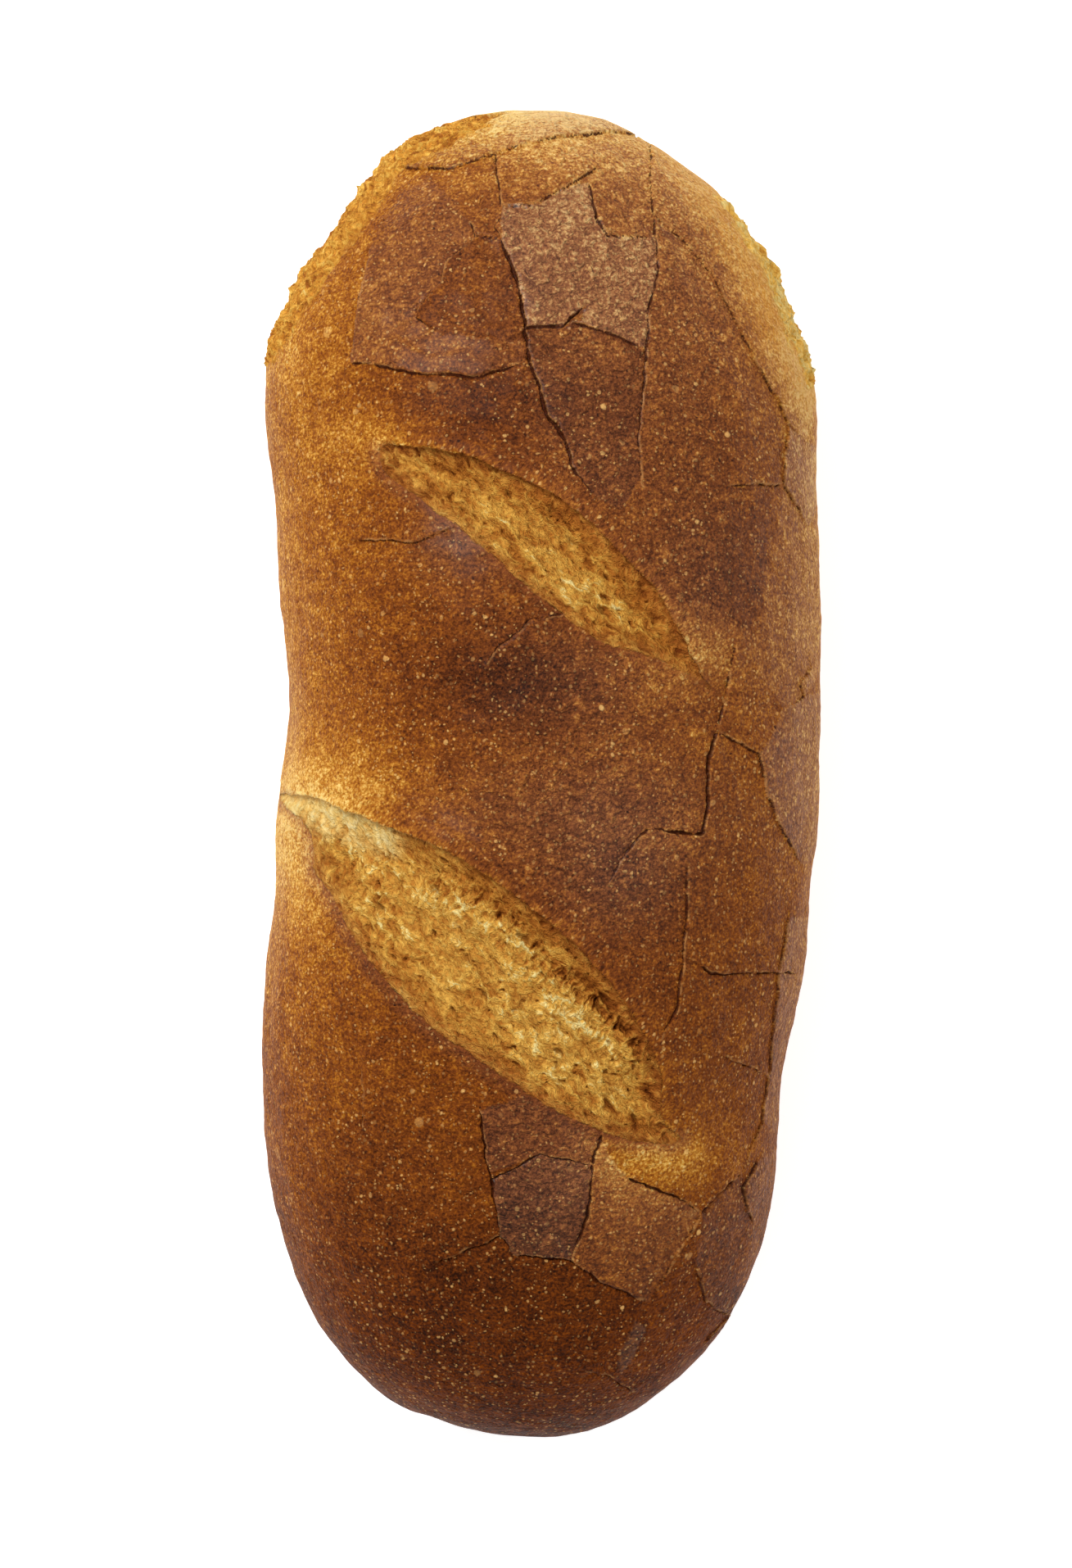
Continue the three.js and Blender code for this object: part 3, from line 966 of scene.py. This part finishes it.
# Its tone follows its relief, paler on raised strands and lumps and darker in the hollows and in the valley
# beside the ridge: partly its own colour, partly painted shade.
crumb_tone = 0.45 + strands * 0.32 + fine_strands * 0.12 + fluff * 0.5 + lumps * 0.34 + ridge * 0.06
crumb_tone = crumb_tone - valley * (0.22 - strands * 0.2) - baked_edge * 0.14 - toast_and_shade_under_lip * 0.14
CRUMB_COLOURS = [
    (0.0, tint(84, 38, 8)),
    (0.25, tint(140, 78, 25)),
    (0.45, tint(180, 111, 40)),
    (0.65, tint(208, 145, 59)),
    (0.85, tint(238, 182, 82)),
    (1.0, tint(254, 228, 150)),
]
RUSTY_CRUMB_COLOURS = [
    (0.1, tint(110, 50, 16)),
    (0.4, tint(166, 96, 38)),
    (0.7, tint(204, 142, 64)),
    (1.0, tint(236, 186, 104)),
]
PALE_SKIN_COLOURS = [
    (0.1, tint(206, 132, 48)),
    (0.35, tint(238, 178, 84)),
    (0.65, tint(254, 216, 128)),
    (0.95, tint(255, 236, 174)),
]
TORN_COLOURS = [
    (0.0, tint(168, 96, 34)),
    (0.35, tint(224, 152, 56)),
    (0.7, tint(254, 198, 90)),
    (1, tint(255, 222, 140)),
]
crumb_colour = ramp(crumb_tone, CRUMB_COLOURS)
rust = s.step(to_edge + fluff * 1.5, 4, 0).most(s.step(s.noise(drawn_out, 2.6, 3, 0.6, 50), 0.05, 0.4) * 0.45)
crumb_colour = s.blend(rust * 0.8 * (1 - skin), crumb_colour, ramp(crumb_tone, RUSTY_CRUMB_COLOURS))
crumb_colour = s.blend(skin * 0.85, crumb_colour, ramp(crumb_tone, PALE_SKIN_COLOURS))
# The wide slash's upper tip has a thin pale edge.
wide_tip = s.step(place_y, 15, 5) * s.step(place_x, -14, -26)
thin_edge = s.step(painted("to_lifted") + fluff * 0.6, 2, 0.5) * wide_tip
crumb_colour = s.blend(thin_edge * 0.6, crumb_colour, tint(250, 196, 112))
cream = far_right * 0.44 - 0.34 + s.step(painted("torn_in"), 2, 6) * 0.1
torn_tone = (crumb_tone - 0.5) * 1.3 + 0.42 + cream + s.noise(place, 3.5, 3, 0.6, 51) * 0.3
crumb_colour = s.blend(torn, crumb_colour, ramp(torn_tone, TORN_COLOURS))
# Painted shade at the floors of the crumb's pores.
crumb_colour = s.blend(pitted * (0.5 - torn * 0.4 - skin * 0.3), crumb_colour, tint(104, 50, 14))
seared = s.step(how_far_in + frayed * 0.6, -1.8, -0.1) * (painted("to_low") < 4) * (1 - torn)
crust_colour = s.blend(seared * 0.4, crust_colour, tint(140, 72, 30))
bread_colour = s.blend(crumb, crust_colour, crumb_colour)

roughness = 0.55 + s.noise(place, 4, 3, 0.6, 9) * 0.06 - sheen * 0.1
roughness = s.mix(crumb, roughness, 0.9)

# Fine grain of the crust, the dots' little domes and the crumb's finest strands stand out as relief.
crust_height = gritty * 0.12 + s.noise(place, 2.4, 4, 0.65, 46) * (0.45 + sheen * 0.6) + dotted * 0.2
crust_height = crust_height - cracked * 0.2 - creases * (0.08 + sheen * 0.3)
crumb_height = fine_strands * 0.22 + fluff * 0.4 + strands * 0.2
surface_height = s.mix(crumb, crust_height * 1.4, crumb_height * 1.2)
bump = s.node("ShaderNodeBump", None, {"Strength": 1.0, "Distance": 1 / MM, "Height": surface_height})
shader = s.node(
    "ShaderNodeBsdfPrincipled",
    None,
    {
        "Base Color": bread_colour,
        "Roughness": roughness,
        "Specular IOR Level": 0.04,
        "Coat Weight": sheen * 0.32 * (1 - crumb) * s.step(place_z, 35, 60),
        "Coat Roughness": 0.32,
        "Normal": bump,
    },
)
s.node("ShaderNodeOutputMaterial", None, {"Surface": shader})

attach(loaf_crust, "root")
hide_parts("loaf")


# ---------------------------------------------------------------------------------------------------------
# The studio: a wide pale floor, one big soft light above the loaf's far left and a weaker one to the right,
# and a camera that looks straight down.
# ---------------------------------------------------------------------------------------------------------
FLOOR_SIDE = 12
shape = bmesh.new()
bmesh.ops.create_grid(shape, x_segments=1, y_segments=1, size=FLOOR_SIDE / 2)
floor_mesh = bpy.data.meshes.new("studio_floor")
shape.to_mesh(floor_mesh)
shape.free()
floor = bpy.data.objects.new("studio_floor", floor_mesh)
bpy.context.scene.collection.objects.link(floor)
pale_floor = bpy.data.materials.new("pale_floor")
pale_floor.use_nodes = True
floor_shader = pale_floor.node_tree.nodes["Principled BSDF"]
floor_shader.inputs["Base Color"].default_value = (0.93, 0.93, 0.93, 1)
floor_shader.inputs["Roughness"].default_value = 0.9
floor_shader.inputs["Specular IOR Level"].default_value = 0.1
floor_shader.inputs["Emission Color"].default_value = (1, 1, 1, 1)
floor_shader.inputs["Emission Strength"].default_value = 0.6
floor_mesh.materials.append(pale_floor)


def soft_light(name, place, side, watts, target=(0, 0, 0.03)):
    """A square soft light that faces the target."""
    lamp = bpy.data.lights.new(name, "AREA")
    lamp.size = side
    lamp.energy = watts
    holder = bpy.data.objects.new(name, lamp)
    bpy.context.scene.collection.objects.link(holder)
    holder.location = place
    aim = Vector(target) - holder.location
    holder.rotation_euler = aim.to_track_quat("-Z", "Y").to_euler()


soft_light("key_light", (-0.75, 0.8, 1.3), 0.7, 20)
soft_light("fill_light", (0.9, -0.3, 1.3), 1.4, 5)

world = bpy.data.worlds.new("studio_air")
bpy.context.scene.world = world
world.use_nodes = True
world.node_tree.nodes["Background"].inputs["Color"].default_value = (1, 1, 1, 1)
world.node_tree.nodes["Background"].inputs["Strength"].default_value = 0.45
bpy.context.scene.view_settings.view_transform = "Standard"

VIEW_HEIGHT = 0.9  # of the camera above the floor
SEEN_LENGTH = 0.3435  # of the plane through the loaf's waist, from the top of the view to its bottom
camera = bpy.data.cameras.new("camera")
camera.sensor_width = 36
camera.lens = camera.sensor_width * (VIEW_HEIGHT - WAIST / MM) / SEEN_LENGTH
camera_holder = bpy.data.objects.new("camera", camera)
camera_holder.location = (-0.0012, -0.0021, VIEW_HEIGHT)
bpy.context.scene.collection.objects.link(camera_holder)
bpy.context.scene.camera = camera_holder
